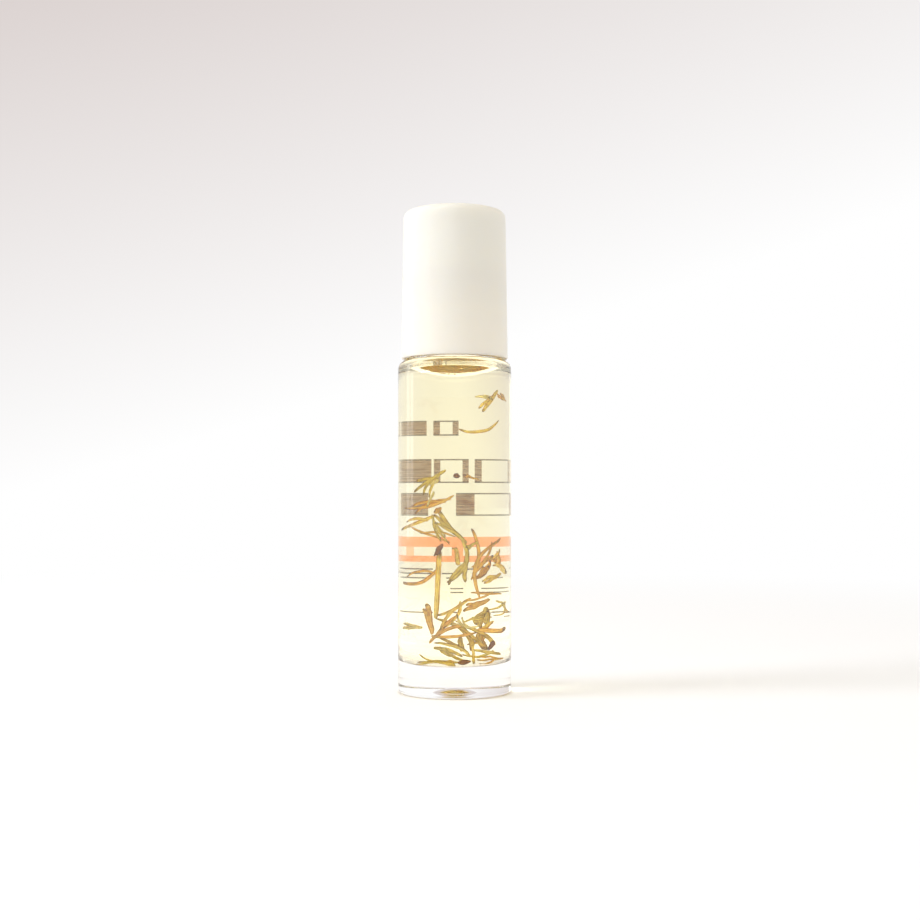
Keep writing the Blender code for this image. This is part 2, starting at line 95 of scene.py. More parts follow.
# %% [markdown]
# ## Turned shapes
#
# Bottles, caps, plugs and pads are turned shapes: half of a cross-section, spun round the axis. The outline
# here holds only its corners. A corner that is round on the real piece is bevelled after the spin, which is
# how a maker would draw it: sharp first, then rounded with the radius that the mould has.

# %% Helper: spin an outline and round its corners
TURNS = 144
ROUND_CUTS = 6
BOWL_CUTS = 10
SAME_POINT = 0.002 * MM  # points closer than this are merged
NEAR = 0.01 * MM


def finish_mesh(name, work, sharp_angle=40, material=None, weighted=True):
    """Makes the object of a bmesh: merged, facing outwards, smooth, with flat stretches kept flat."""
    bmesh.ops.remove_doubles(work, verts=work.verts, dist=SAME_POINT)
    bmesh.ops.recalc_face_normals(work, faces=work.faces)
    mesh = bpy.data.meshes.new(name)
    work.to_mesh(mesh)
    work.free()
    mesh.shade_smooth()
    mesh.set_sharp_from_angle(angle=math.radians(sharp_angle))
    piece = bpy.data.objects.new(name, mesh)
    bpy.context.scene.collection.objects.link(piece)
    if material:
        mesh.materials.append(material)
    if weighted:
        flatten = piece.modifiers.new("weighted_normals", "WEIGHTED_NORMAL")
        flatten.keep_sharp = True
    return piece


def off_wall(point, radius):
    """How far a point is from the round wall of that radius."""
    return abs(math.hypot(point.co.x, point.co.y) - radius)


def ring_edges(work, radius, height):
    """The edges of the circle at that radius and height."""
    found = {v for v in work.verts if abs(v.co.z - height) < NEAR and off_wall(v, radius) < NEAR}
    return [e for e in work.edges if e.verts[0] in found and e.verts[1] in found]


def turned(outline, closed=False):
    """Spins (radius, height, round) corners round the axis and bevels each corner whose round isn't zero."""
    work = bmesh.new()
    knots = [work.verts.new((radius, 0, height)) for radius, height, _ in outline]
    edges = [work.edges.new(pair) for pair in zip(knots, knots[1:])]
    if closed:
        edges.append(work.edges.new((knots[-1], knots[0])))
    bmesh.ops.spin(
        work, geom=knots + edges, cent=(0, 0, 0), axis=(0, 0, 1), angle=math.tau, steps=TURNS, use_merge=True
    )
    bmesh.ops.remove_doubles(work, verts=work.verts, dist=SAME_POINT)
    for i, (radius, height, round_radius) in enumerate(outline):
        if not round_radius:
            continue
        here = Vector((radius, height))
        before = here - Vector(outline[i - 1][:2])
        after = Vector(outline[(i + 1) % len(outline)][:2]) - here
        tangent = round_radius * math.tan(before.angle(after) / 2)
        bmesh.ops.bevel(
            work, geom=ring_edges(work, radius, height), offset=tangent, offset_type="OFFSET", affect="EDGES",
            segments=ROUND_CUTS, profile=0.5, clamp_overlap=True, material=-1,
        )
    return work


def bowl(radius, rim_height, rise):
    """Corners of a shallow dome from its rim to the axis. A negative rise makes it hang down."""
    sphere = (radius**2 + rise**2) / (2 * abs(rise))
    half_angle = math.asin(radius / sphere)
    corners = []
    for i in range(BOWL_CUTS + 1):
        angle = half_angle * (1 - i / BOWL_CUTS)
        drop = math.copysign(sphere * (1 - math.cos(angle)), rise)
        corners.append((sphere * math.sin(angle), rim_height + rise - drop, 0))
    return corners


print("a full turn has", TURNS, "steps")

# %% [markdown]
# ## Materials
#
# A small helper starts each material and sets the shader's own sockets. Numbers that are the same all over
# a surface go straight on the shader. Only what varies, such as grain or the colour along a leaf, comes
# from nodes.

# %% Helper: start a material


def new_material(name, **sockets):
    """A node material with its Principled shader's sockets set, and the tree to add nodes to."""
    made = bpy.data.materials.new(name)
    made.use_nodes = True
    shader = made.node_tree.nodes["Principled BSDF"]
    for key, value in sockets.items():
        socket = shader.inputs[key.replace("_", " ").title().replace("Ior", "IOR")]
        socket.default_value = (*value, 1) if socket.type == "RGBA" else value
    return made, made.node_tree, shader


print("each material starts with a Principled shader")

# %% [markdown]
# Nodes are joined in the call that adds them. A value that is itself another node's output becomes a link,
# and any other value is set on the socket, so a chain of nodes reads from top to bottom.

# %% Helper: add and join nodes


def fill(tree, socket, value):
    """Links a socket to another node's output, or gives it a value."""
    if isinstance(value, bpy.types.NodeSocket):
        tree.links.new(value, socket)
    else:
        socket.default_value = value


def add_node(tree, kind, *in_order, **named):
    """Adds a node, with values for its sockets in order or by name. Other names are the node's properties."""
    made = tree.nodes.new(kind)
    for socket, value in zip(made.inputs, in_order):
        fill(tree, socket, value)
    for key, value in named.items():
        title = key.replace("_", " ").title()
        if title in made.inputs:
            fill(tree, made.inputs[title], value)
        else:
            setattr(made, key, value)
    return made


def calculate(tree, operation, first, second, **named):
    """The result of a sum on two values."""
    return add_node(tree, "ShaderNodeMath", first, second, operation=operation, **named).outputs["Value"]


def mix_shaders(tree, share, one, two):
    """One shader where the share is 0 and the other where it is 1."""
    return add_node(tree, "ShaderNodeMixShader", share, one, two).outputs["Shader"]


def ramp(tree, source, *stops):
    """A colour ramp with (position, colour) stops, fed by a socket."""
    made = add_node(tree, "ShaderNodeValToRGB", source)
    knots = made.color_ramp.elements
    while len(knots) < len(stops):
        knots.new(1)
    for knot, (position, colour) in zip(knots, stops):
        knot.position = position
        knot.color = (*colour, 1)
    return made.outputs["Color"]


# %% Helper: noise and fine grain


def noise_at(tree, place, stretch=(1, 1, 1), scale=1.0, detail=2.0):
    """Noise at a place, such as Object coordinates or a map, that is stretched first."""
    mapping = add_node(tree, "ShaderNodeMapping", Vector=place, Scale=stretch)
    made = add_node(tree, "ShaderNodeTexNoise", Vector=mapping.outputs["Vector"], Scale=scale, Detail=detail)
    return made.outputs["Fac"]


def object_place(tree):
    """Object coordinates, in metres."""
    return add_node(tree, "ShaderNodeTexCoord").outputs["Object"]


def add_grain(tree, shader, scale, strength, distance, **noise_values):
    """Fine bumps. The scale is bumps to a metre, and the distance is their height."""
    grain = noise_at(tree, object_place(tree), scale=scale, **noise_values)
    bump = add_node(tree, "ShaderNodeBump", Strength=strength, Distance=distance, Height=grain)
    fill(tree, shader.inputs["Normal"], bump.outputs["Normal"])


print("helpers are ready")

# %% [markdown]
# ## The camera
#
# The photograph looks level at the bottle, from 24 cm away and from below the middle of its height. The
# lens, the distance and the small shift come from the bottle's height and width in the picture, and from
# how flat its round edges look at each height.

# %% Camera
FRAME_PIXELS = 920
FOCAL_PIXELS = 1362
EYE_HEIGHT = 34.3 * MM
EYE_DISTANCE = 241 * MM
HORIZON_PIXEL = 498
AXIS_PIXEL = 454.6
SENSOR = 36  # its usual width, in millimetres

camera_data = bpy.data.cameras.new("camera")
camera_data.sensor_width = SENSOR
camera_data.lens = FOCAL_PIXELS / FRAME_PIXELS * SENSOR
camera_data.shift_x = (FRAME_PIXELS / 2 - AXIS_PIXEL) / FRAME_PIXELS
camera_data.shift_y = (HORIZON_PIXEL - FRAME_PIXELS / 2) / FRAME_PIXELS
camera_data.clip_start = 5 * MM
camera = bpy.data.objects.new("camera", camera_data)
camera.location = (0, -EYE_DISTANCE, EYE_HEIGHT)
camera.rotation_euler = (math.radians(90), 0, 0)
bpy.context.scene.collection.objects.link(camera)
bpy.context.scene.camera = camera
bpy.context.scene.view_settings.view_transform = "Standard"
print(f"lens: {camera_data.lens:.1f} mm")

# %% [markdown]
# ## Glass
#
# Moulded glass is one closed skin: outside, over the lip, down the bore and round the chamber. Light bends
# twice at each wall, so the inner skin matters as much as the outer one. The thick base with its small
# push-up makes the grey arcs under the oil. Shadows are left to the glass itself: it gathers light into a
# streak and shades the rest.

# %% Glass material
glass_material, tree, shader = new_material(
    "clear_glass", base_color=(1.0, 1.0, 1.0), roughness=0.0, ior=1.5, transmission_weight=1.0
)
add_grain(tree, shader, scale=260, strength=0.06, distance=0.02 * MM, detail=1.0)
print("glass material:", glass_material.name)

# %% Glass bottle
HEEL_ROUND = 0.6 * MM
FOOT_RING = 1.5 * MM
FOOT_RISE = 0.3 * MM
DIMPLE_RADIUS = 2.7 * MM
DIMPLE_RISE = 0.85 * MM
SHOULDER_ROUND = 1.5 * MM
NECK_ROOT_ROUND = 0.6 * MM
NECK_RADIUS = 7.3 * MM
BORE_RADIUS = 5.2 * MM
BORE_EDGE_ROUND = 0.6 * MM
LIP_ROUND = 0.5 * MM
CEILING_ROUND = 1.6 * MM
FLOOR_ROUND = 3.0 * MM

glass_outline = [
    (0, ROOM_FLOOR, 0),
    (ROOM_RADIUS, ROOM_FLOOR, FLOOR_ROUND),
    (ROOM_RADIUS, ROOM_CEILING, CEILING_ROUND),
    (BORE_RADIUS, ROOM_CEILING, BORE_EDGE_ROUND),
    (BORE_RADIUS, LIP, LIP_ROUND),
    (NECK_RADIUS, LIP, LIP_ROUND),
    (NECK_RADIUS, SHOULDER, NECK_ROOT_ROUND),
    (BODY_RADIUS, SHOULDER, SHOULDER_ROUND),
    (BODY_RADIUS, 0, HEEL_ROUND),
    (BODY_RADIUS - HEEL_ROUND - FOOT_RING, 0, FOOT_RISE / 2),
    (BODY_RADIUS - HEEL_ROUND - FOOT_RING - FOOT_RISE, FOOT_RISE, FOOT_RISE / 2),
] + bowl(DIMPLE_RADIUS, FOOT_RISE, DIMPLE_RISE)
glass_work = turned(glass_outline)
print("glass faces before the thread:", len(glass_work.faces))

# %% [markdown]
# The screw thread on the neck is part of the same skin. The neck's wall is cut into fine rows, and each
# point of it is pushed out where the ridge runs. The ridge climbs with the turn, and fades at both ends as
# a moulded one does.

# %% Screw thread on the neck
THREAD_LEAD = 3.175 * MM
THREAD_TURNS = 1.5
RIDGE_REACH = 0.75 * MM
LIP_TO_THREAD = 1.6 * MM
RUN_OUT_SHARE = 0.12
THREAD_ROWS = 64
WALL_NEAR = 0.02 * MM
THREAD_START = LIP - LIP_TO_THREAD - RIDGE_REACH - THREAD_TURNS * THREAD_LEAD


def ridge_height(point, first_height, start_turn, reach):
    """How far a thread ridge stands out of its wall at a point."""
    best = 0.0
    for whole_turn in range(-1, 3):
        turn = math.atan2(point.co.y, point.co.x) / math.tau + whole_turn
        share = (turn - start_turn) / THREAD_TURNS
        if not 0 <= share <= 1:
            continue
        away = abs(point.co.z - first_height - THREAD_LEAD * turn)
        fade = min(1, min(share, 1 - share) / RUN_OUT_SHARE)
        best = max(best, fade * math.sqrt(max(0, reach**2 - away**2)))
    return best


def cut_rows(work, radius, low, high):
    """Cuts the wall of that radius between two heights into rows, and gives the wall's points."""

    def on_wall(v):
        return off_wall(v, radius) < WALL_NEAR and low - WALL_NEAR < v.co.z < high + WALL_NEAR

    tall = [
        e for e in work.edges
        if all(on_wall(v) for v in e.verts) and abs(e.verts[0].co.z - e.verts[1].co.z) > (high - low) / 2
    ]
    bmesh.ops.subdivide_edges(work, edges=tall, cuts=THREAD_ROWS, use_grid_fill=True)
    return [v for v in work.verts if on_wall(v)]


def set_radius(point, radius):
    """Moves a point straight in or out to that radius."""
    angle = math.atan2(point.co.y, point.co.x)
    point.co.x, point.co.y = radius * math.cos(angle), radius * math.sin(angle)


for point in cut_rows(glass_work, NECK_RADIUS, SHOULDER + NECK_ROOT_ROUND, LIP - LIP_ROUND):
    set_radius(point, NECK_RADIUS + ridge_height(point, THREAD_START, 0, RIDGE_REACH))
glass = finish_mesh("glass_body", glass_work, sharp_angle=180, material=glass_material)
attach(glass, "bottle")
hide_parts("glass_bottle")
print("glass faces:", len(glass.data.polygons))

# %% [markdown]
# ## Oil
#
# The oil wets the glass, so there is no air between them. Two clear skins that only touch would show a
# false film of air. The oil's skin is therefore let a hair's breadth into the glass, and a ray then bends
# as it does from glass to oil. The yellow comes from the oil's depth: the colour is absorbed along the way
# and not painted on the skin.

# %% Oil material
oil_material, tree, shader = new_material(
    "pale_oil", base_color=(1.0, 1.0, 1.0), roughness=0.0, ior=1.47, transmission_weight=1.0
)
depth_colour = add_node(tree, "ShaderNodeVolumeAbsorption", Color=(0.945, 0.80, 0.02, 1), Density=29)
fill(tree, tree.nodes["Material Output"].inputs["Volume"], depth_colour.outputs["Volume"])
print("oil material:", oil_material.name)

# %% Oil with the bubble under the neck
INTO_GLASS = 0.05 * MM
BUBBLE_RADIUS = 5.4 * MM
BUBBLE_DEPTH = 1.95 * MM

oil_outline = [
    (0, ROOM_FLOOR - INTO_GLASS, 0),
    (ROOM_RADIUS + INTO_GLASS, ROOM_FLOOR - INTO_GLASS, FLOOR_ROUND),
    (ROOM_RADIUS + INTO_GLASS, ROOM_CEILING + INTO_GLASS, CEILING_ROUND),
] + bowl(BUBBLE_RADIUS, ROOM_CEILING + INTO_GLASS, -BUBBLE_DEPTH)
oil = finish_mesh("oil_fill", turned(oil_outline), sharp_angle=60, material=oil_material)
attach(oil, "bottle")
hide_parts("oil")
print("oil faces:", len(oil.data.polygons))

# %% [markdown]
# ## Cap
#
# The cap is moulded in white plastic with a satin skin. Its sides taper a little so that it leaves the
# mould, and its top edge is well rounded. Inside are a wide bore with the thread and a narrower one for the
# soft pad.

# %% Cap material
cap_material, tree, shader = new_material(
    "white_cap_plastic", base_color=(0.92, 0.88, 0.77), roughness=0.36, ior=1.49,
    subsurface_weight=0.7, subsurface_radius=(1.0, 0.9, 0.75), subsurface_scale=3.0 * MM,
)
add_grain(tree, shader, scale=9000, strength=0.12, distance=0.004 * MM, detail=3.0)
print("cap material:", cap_material.name)

# %% Cap
CAP_TAPER = 0.4 * MM  # how much smaller its radius is at the top
CAP_TOP_ROUND = 1.2 * MM
CAP_EDGE_ROUND = 0.25 * MM
CAP_WALL_TOP = 1.2 * MM
CAP_THREAD_BORE = 8.35 * MM
CAP_UPPER_BORE = 7.9 * MM
CAP_CEILING = CAP_TOP - CAP_WALL_TOP
CAP_STEP = LIP + 0.5 * MM
CAP_RIDGE = 0.7 * MM
CAP_CORNER_ROUND = 0.4 * MM  # inside, under its top
CAP_START_TURN = -0.15  # where its ridge begins, in turns from the neck's

cap_outline = [
    (0, CAP_TOP, 0),
    (CAP_BOTTOM_RADIUS - CAP_TAPER, CAP_TOP, CAP_TOP_ROUND),
    (CAP_BOTTOM_RADIUS, cap_low.z, CAP_EDGE_ROUND),
    (CAP_THREAD_BORE, cap_low.z, CAP_EDGE_ROUND),
    (CAP_THREAD_BORE, CAP_STEP, 0),
    (CAP_UPPER_BORE, CAP_STEP + CAP_THREAD_BORE - CAP_UPPER_BORE, 0),
    (CAP_UPPER_BORE, CAP_CEILING, CAP_CORNER_ROUND),
    (0, CAP_CEILING, 0),
]
cap_work = turned(cap_outline)
for point in cut_rows(cap_work, CAP_THREAD_BORE, cap_low.z + CAP_EDGE_ROUND, CAP_STEP):
    stand_in = ridge_height(point, THREAD_START - THREAD_LEAD / 2, CAP_START_TURN, CAP_RIDGE)
    set_radius(point, CAP_THREAD_BORE - stand_in)
cap = finish_mesh("cap_shell", cap_work, sharp_angle=50, material=cap_material)
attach(cap, "cap")
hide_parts("cap")
print("cap faces:", len(cap.data.polygons))

# %% [markdown]
# ## Soft pad
#
# A disc of white foam lies under the cap's top. When the cap is screwed down it closes over the ball, so
# its middle is dished. Its rim is a little rounded, because foam doesn't keep a sharp edge.

# %% Soft pad
PAD_DISH_RADIUS = 3.5 * MM
PAD_DISH_DEPTH = 0.8 * MM
PAD_EDGE_ROUND = 0.3 * MM

pad_material, tree, shader = new_material("soft_pad", base_color=(0.80, 0.80, 0.78), roughness=0.75)
add_grain(tree, shader, scale=6500, strength=0.5, distance=0.03 * MM)
pad_outline = [
    (0, pad_high.z, 0),
    (pad_high.x, pad_high.z, PAD_EDGE_ROUND),
    (pad_high.x, pad_low.z, PAD_EDGE_ROUND),
] + bowl(PAD_DISH_RADIUS, pad_low.z, PAD_DISH_DEPTH)
pad = finish_mesh("cap_pad", turned(pad_outline), material=pad_material)
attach(pad, "cap_liner")
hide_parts("cap_liner")
print("pad faces:", len(pad.data.polygons))

# %% [markdown]
# ## Plug that holds the ball
#
# The plug is moulded in natural, slightly milky plastic. Its ribs grip the bore, its flange rests on the
# lip, and its socket goes a little past the ball's middle, which keeps the ball in. A hole in its web feeds
# oil to the ball.

# %% Plug
SOCKET_RADIUS = BALL_RADIUS + 0.15 * MM
SOCKET_WALL = 1.15 * MM
RIM_RISE = 1.9 * MM
RIM_ROUND = 0.4 * MM
FLANGE_THICKNESS = 1.0 * MM
FLANGE_ROUND = 0.25 * MM
COLLAR_ROUND = 0.3 * MM  # where the socket stands on the flange, and inside the skirt
SMALL_ROUND = 0.15 * MM
RIB_ROUND = 0.08 * MM
SOCKET_LIP_ROUND = 0.12 * MM
WEB_THICKNESS = 1.2 * MM
FEED_RADIUS = 3.0 * MM
RIB_COUNT = 3
RIB_PITCH = 2.0 * MM
RIB_HEIGHT = 0.25 * MM
PLUG_WALL = 1.0 * MM
NOSE = 0.7 * MM
SOCKET_CUTS = 20

plug_material, tree, shader = new_material(
    "natural_plastic", base_color=(0.76, 0.77, 0.75), roughness=0.34, ior=1.5,
    subsurface_weight=0.6, subsurface_radius=(1.0, 1.0, 0.9), subsurface_scale=1.6 * MM,
)
add_grain(tree, shader, scale=7000, strength=0.15, distance=0.004 * MM, detail=3.0)

rim = BALL_MIDDLE + RIM_RISE
flange_top = LIP + PRESS + FLANGE_THICKNESS
rib_radius = BORE_RADIUS - PRESS
core_radius = rib_radius - RIB_HEIGHT
plug_outline = [
    (SOCKET_RADIUS + SOCKET_WALL, rim, RIM_ROUND),
    (SOCKET_RADIUS + SOCKET_WALL, flange_top, COLLAR_ROUND),
    (plug_high.x, flange_top, FLANGE_ROUND),
    (plug_high.x, LIP + PRESS, FLANGE_ROUND),
    (core_radius, LIP + PRESS, 0),
]
for i in range(RIB_COUNT):
    middle = LIP - RIB_PITCH * (i + 1)
    plug_outline += [
        (core_radius, middle + RIB_HEIGHT * 2, 0),
        (rib_radius, middle, RIB_ROUND),
        (core_radius, middle - RIB_HEIGHT, 0),
    ]
web_top = BALL_MIDDLE - math.sqrt(SOCKET_RADIUS**2 - FEED_RADIUS**2)
plug_outline += [
    (core_radius, plug_low.z + NOSE, 0),
    (core_radius - NOSE / 2, plug_low.z, SMALL_ROUND),
    (core_radius - PLUG_WALL, plug_low.z, SMALL_ROUND),
    (core_radius - PLUG_WALL, web_top - WEB_THICKNESS, COLLAR_ROUND),
    (FEED_RADIUS, web_top - WEB_THICKNESS, SMALL_ROUND),
]
feed_angle = -math.acos(FEED_RADIUS / SOCKET_RADIUS)
rim_angle = math.asin(RIM_RISE / SOCKET_RADIUS)
for i in range(SOCKET_CUTS + 1):
    angle = feed_angle + (rim_angle - feed_angle) * i / SOCKET_CUTS
    edge_round = SOCKET_LIP_ROUND if i == SOCKET_CUTS else 0
    height = BALL_MIDDLE + SOCKET_RADIUS * math.sin(angle)
    plug_outline.append((SOCKET_RADIUS * math.cos(angle), height, edge_round))
plug = finish_mesh("roller_plug", turned(plug_outline, closed=True), sharp_angle=45, material=plug_material)
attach(plug, "bottle")
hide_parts("roller_housing")
print("plug faces:", len(plug.data.polygons))

# %% [markdown]
# ## Steel ball
#
# The ball is polished steel. A sphere made of cut-up triangles has no poles, so nothing pinches in its
# reflections. Rolling on skin leaves very fine scratches, which only a close look shows.

# %% Steel ball
ball_material, tree, shader = new_material(
    "ball_steel", base_color=(0.75, 0.76, 0.78), roughness=0.09, metallic=1.0
)
add_grain(tree, shader, scale=2500, strength=0.05, distance=0.01 * MM, stretch=(1, 1, 8), detail=3.0)
ball_work = bmesh.new()
bmesh.ops.create_icosphere(ball_work, subdivisions=5, radius=BALL_RADIUS)
bmesh.ops.translate(ball_work, verts=ball_work.verts, vec=(0, 0, BALL_MIDDLE))
ball = finish_mesh("steel_ball", ball_work, sharp_angle=180, material=ball_material, weighted=False)
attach(ball, "roller_ball")
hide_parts("roller_ball")
print("ball faces:", len(ball.data.polygons))

# %% [markdown]
# ## Label film
#
# The label is a clear film on the back, printed in a warm grey and one coral band. The print here is plain
# blocks, bars and dashes. Seen through the bottle, only a strip as wide as a pencil shows, drawn out to the
# bottle's width.
#
# The film starts as a flat sheet with rounded corners. It is cut along every edge of the print, the faces
# inside a block take the ink, and then the sheet is bent round the glass. So the print's edges stay sharp
# at any distance.

# %% Label materials
INK_STREAKS = (500, 500, 4200)  # to a metre
film_material, _, _ = new_material("label_film", base_color=(0.95, 0.95, 0.93), roughness=0.12, alpha=0.025)


def printed(name, ink, tint, cover):
    """An ink on clear film: a share of it covers, and the rest colours the light that comes through."""
    made, tree, shader = new_material(name, base_color=ink, roughness=0.4)
    through = add_node(tree, "ShaderNodeBsdfTransparent", Color=(*tint, 1))
    mixed = mix_shaders(tree, cover, through.outputs["BSDF"], shader.outputs["BSDF"])
    fill(tree, tree.nodes["Material Output"].inputs["Surface"], mixed)
    return made, tree, through


coral_material, _, _ = printed("coral_ink", ink=(1.0, 0.52, 0.34), tint=(1.0, 0.70, 0.50), cover=0.25)
line_material, _, _ = printed("line_ink", ink=(0.20, 0.18, 0.19), tint=(0.42, 0.38, 0.36), cover=0.4)
ink_material, tree, through = printed("grey_ink", ink=(0.38, 0.28, 0.26), tint=(0.5, 0.4, 0.36), cover=0.3)
streaks = noise_at(tree, object_place(tree), stretch=INK_STREAKS)
ink_tint = ramp(tree, streaks, (0.36, (0.80, 0.73, 0.66)), (0.58, (0.45, 0.34, 0.29)))
fill(tree, through.inputs["Color"], ink_tint)
print("label materials are ready")

# %% Print layout
# A row is its bottom and top above the foot, its filled blocks and its open ones, in millimetres from the
# label's middle. Every block is closed by a fine line above and below, and an open one has two thick sides.
# A fine row is its height above the foot and its dashes.


def row_of_blocks(first, width, gap, count):
    """Equal blocks in a row, from the left."""
    return [(first + i * (width + gap), first + i * (width + gap) + width) for i in range(count)]


LINE = 0.24
OPEN_SIDE = 0.42
BLOCK_ROWS = [
    (45.5, 48.2, row_of_blocks(-9.35, 1.7, 0.22, 4), row_of_blocks(-1.45, 1.73, 0.3, 1)),
    (37.0, 41.3, row_of_blocks(-10.9, 2.1, 0.3, 4), row_of_blocks(-1.42, 2.4, 0.42, 4)),
    (
        31.1, 35.2,
        row_of_blocks(-10.2, 2.6, 0.3, 3) + [(0.1, 0.95)] + row_of_blocks(4.2, 2.9, 0.3, 2), [(0.95, 3.6)],
    ),
]
FINE_ROWS = [
    (21.4, row_of_blocks(-8.0, 6.5, 0.5, 1) + row_of_blocks(0.5, 0.9, 1.2, 4)),
    (20.6, row_of_blocks(-8.0, 6.4, 0.5, 1) + row_of_blocks(-0.9, 0.8, 3.0, 3)),
    (19.8, row_of_blocks(-8.0, 6.3, 0.5, 1) + row_of_blocks(-0.6, 0.7, 2.4, 3)),
    (17.9, row_of_blocks(-6.0, 1.2, 0.4, 2) + row_of_blocks(-0.3, 0.9, 1.2, 4)),
    (17.2, row_of_blocks(-6.4, 1.4, 0.5, 2) + row_of_blocks(-0.3, 0.9, 1.0, 4)),
    (13.6, row_of_blocks(-5.2, 1.6, 0.5, 2) + row_of_blocks(-0.7, 1.1, 1.9, 3)),
    (12.7, row_of_blocks(-5.2, 1.1, 0.4, 2) + row_of_blocks(1.2, 1.1, 0.4, 3)),
]
CORAL_BAND = (22.8, 27.3)
CLEAR_IN_BAND = ((23.9, 25.5), row_of_blocks(-11.8, 2.3, 0.8, 8))
LABEL_CORNER = 1.5 * MM
CORNER_CUTS = 6
FILM_THICKNESS = 0.08 * MM
BEND_STEP = 0.5  # how often the sheet is cut across so that it bends, in millimetres
ON_THE_CUT = 0.0001 * MM  # a point this close to a cut isn't cut again

film_outer = label_high.y
film_inner = BODY_RADIUS + PRESS
label_angle = 2 * math.asin(min(1, label_high.x / film_outer))
half_width = film_inner * label_angle / 2 / MM
low, high = label_low.z / MM, label_high.z / MM
print(f"film: {2 * half_width:.1f} mm wide, {high - low:.1f} mm tall")

# %% Label film
sheet = bmesh.new()
bmesh.ops.create_grid(sheet, x_segments=1, y_segments=1, size=0.5)  # a square with sides of 1
for point in sheet.verts:
    point.co = ((point.co.x * 2 * half_width) * MM, 0, (low + (point.co.y + 0.5) * (high - low)) * MM)
bmesh.ops.bevel(
    sheet, geom=sheet.verts, offset=LABEL_CORNER, offset_type="OFFSET", affect="VERTICES",
    segments=CORNER_CUTS, profile=0.5, material=-1,
)


def cut_sheet(place, direction):
    """Cuts the whole sheet along a plane."""
    everything = sheet.verts[:] + sheet.edges[:] + sheet.faces[:]
    bmesh.ops.bisect_plane(sheet, geom=everything, plane_co=place, plane_no=direction, dist=ON_THE_CUT)


def inside(span, value):
    """Whether a value lies between two others."""
    return span[0] < value < span[1]


fine, solid, clear = [], [], [(*CLEAR_IN_BAND[0], block) for block in CLEAR_IN_BAND[1]]
for bottom, top, filled, open_blocks in BLOCK_ROWS:
    sides = [(left, left + OPEN_SIDE) for left, right in open_blocks]
    sides += [(right - OPEN_SIDE, right) for left, right in open_blocks]
    solid += [(bottom + LINE, top - LINE, block) for block in filled + sides]
    for height in (bottom, top - LINE):
        fine += [(height, height + LINE, block) for block in filled + open_blocks]
fine += [(height, height + LINE, block) for height, blocks in FINE_ROWS for block in blocks]

patches = fine + solid + clear
levels = {round(level, 3) for patch in patches for level in patch[:2]} | set(CORAL_BAND)
uprights = {round(side, 3) for patch in patches for side in patch[2]}
bend_count = int(half_width / BEND_STEP)
bends = {round(BEND_STEP * i, 3) for i in range(-bend_count, bend_count + 1)}
for level in sorted(levels):
    cut_sheet((0, 0, level * MM), (0, 0, 1))
for upright in sorted(uprights | bends):
    cut_sheet((upright * MM, 0, 0), (1, 0, 0))


def in_any(found, middle):
    """Whether the middle of a face lies in one of the patches."""
    return any(bottom < middle.z < top and inside(block, middle.x) for bottom, top, block in found)


FILM, GREY, CORAL, DARK = range(4)
for face in sheet.faces:
    middle = face.calc_center_median() / MM
    face.material_index = FILM
    if inside(CORAL_BAND, middle.z) and not in_any(clear, middle):
        face.material_index = CORAL
    if in_any(solid, middle):
        face.material_index = GREY
    if in_any(fine, middle):
        face.material_index = DARK
inks = [face.material_index for face in sheet.faces]
print("label faces: film, grey, coral and lines:", [inks.count(ink) for ink in (FILM, GREY, CORAL, DARK)])

for point in sheet.verts:
    angle = point.co.x / film_inner
    point.co.x, point.co.y = film_inner * math.sin(angle), film_inner * math.cos(angle)
bmesh.ops.recalc_face_normals(sheet, faces=sheet.faces)
label = finish_mesh("printed_film", sheet, sharp_angle=50, weighted=False)
for material in (film_material, ink_material, coral_material, line_material):
    label.data.materials.append(material)
thick = label.modifiers.new("film", "SOLIDIFY")
thick.thickness = FILM_THICKNESS
thick.offset = 1
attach(label, "bottle")
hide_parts("back_label")
print("label faces:", len(label.data.polygons))

# %% [markdown]
# ## Herbs
#
# Dried leaves are narrow blades. Their edges roll under, a groove runs down the middle, and they twist as
# they dry. Stems are ribbed and a little knotty, and buds are closed with their scales. All are strands:
# rings of points set along a line and bridged. Only the ring's shape differs.
#
# The line comes from the coarse strand in the frame, so each herb lies where its part is. The ends of that
# strand give where it starts and ends, and its middle gives how far it bows.

# %% Helper: read a strand's line from the frame
STRAND_SIDES = 6  # how the coarse strands were made
STRAND_RINGS = 6
BOW_AT_MIDDLE_RINGS = 0.96  # of the full bow
DIGITS = 7  # corners that agree to this many are one point, in metres


def strand_line(node):
    """Start, end, bow and half width of a coarse strand."""
    corners = frame["nodes"][node].data.vertices
    points = {tuple(round(value, DIGITS) for value in corner.co) for corner in corners}
    points = [Vector(point) for point in sorted(points)]
    heart = sum(points, Vector()) / len(points)
    one_end = max(points, key=lambda point: (point - heart).length)
    other_end = max(points, key=lambda point: (point - one_end).length)
    along = (other_end - one_end).normalized()
    points.sort(key=lambda point: point.dot(along))

    def middle_of(first, last):
        chosen = points[first * STRAND_SIDES:last * STRAND_SIDES]
        return sum(chosen, Vector()) / len(chosen)

    start, end = middle_of(0, 1), middle_of(STRAND_RINGS - 1, STRAND_RINGS)
    bow = (middle_of(2, 4) - (start + end) / 2) / BOW_AT_MIDDLE_RINGS
    ring = middle_of(2, 3)
    around = points[2 * STRAND_SIDES:3 * STRAND_SIDES]
    half_width = sum((point - ring).length for point in around) / STRAND_SIDES
    return start, end, bow, half_width


# %% Helper: grow a strand of any section along a line
KEEP_OFF_GLASS = 0.08 * MM
RINGS = 30
RING_SIDES = 12
WOBBLE = 0.14 * MM
WOBBLE_SEED = 7
WAVES = 3  # how often it wobbles along a strand
WOBBLE_PLACES = 50  # each piece reads the noise at a place of its own, up to this far out
noise.seed_set(WOBBLE_SEED)  # without a seed, the strands would wobble another way on each run


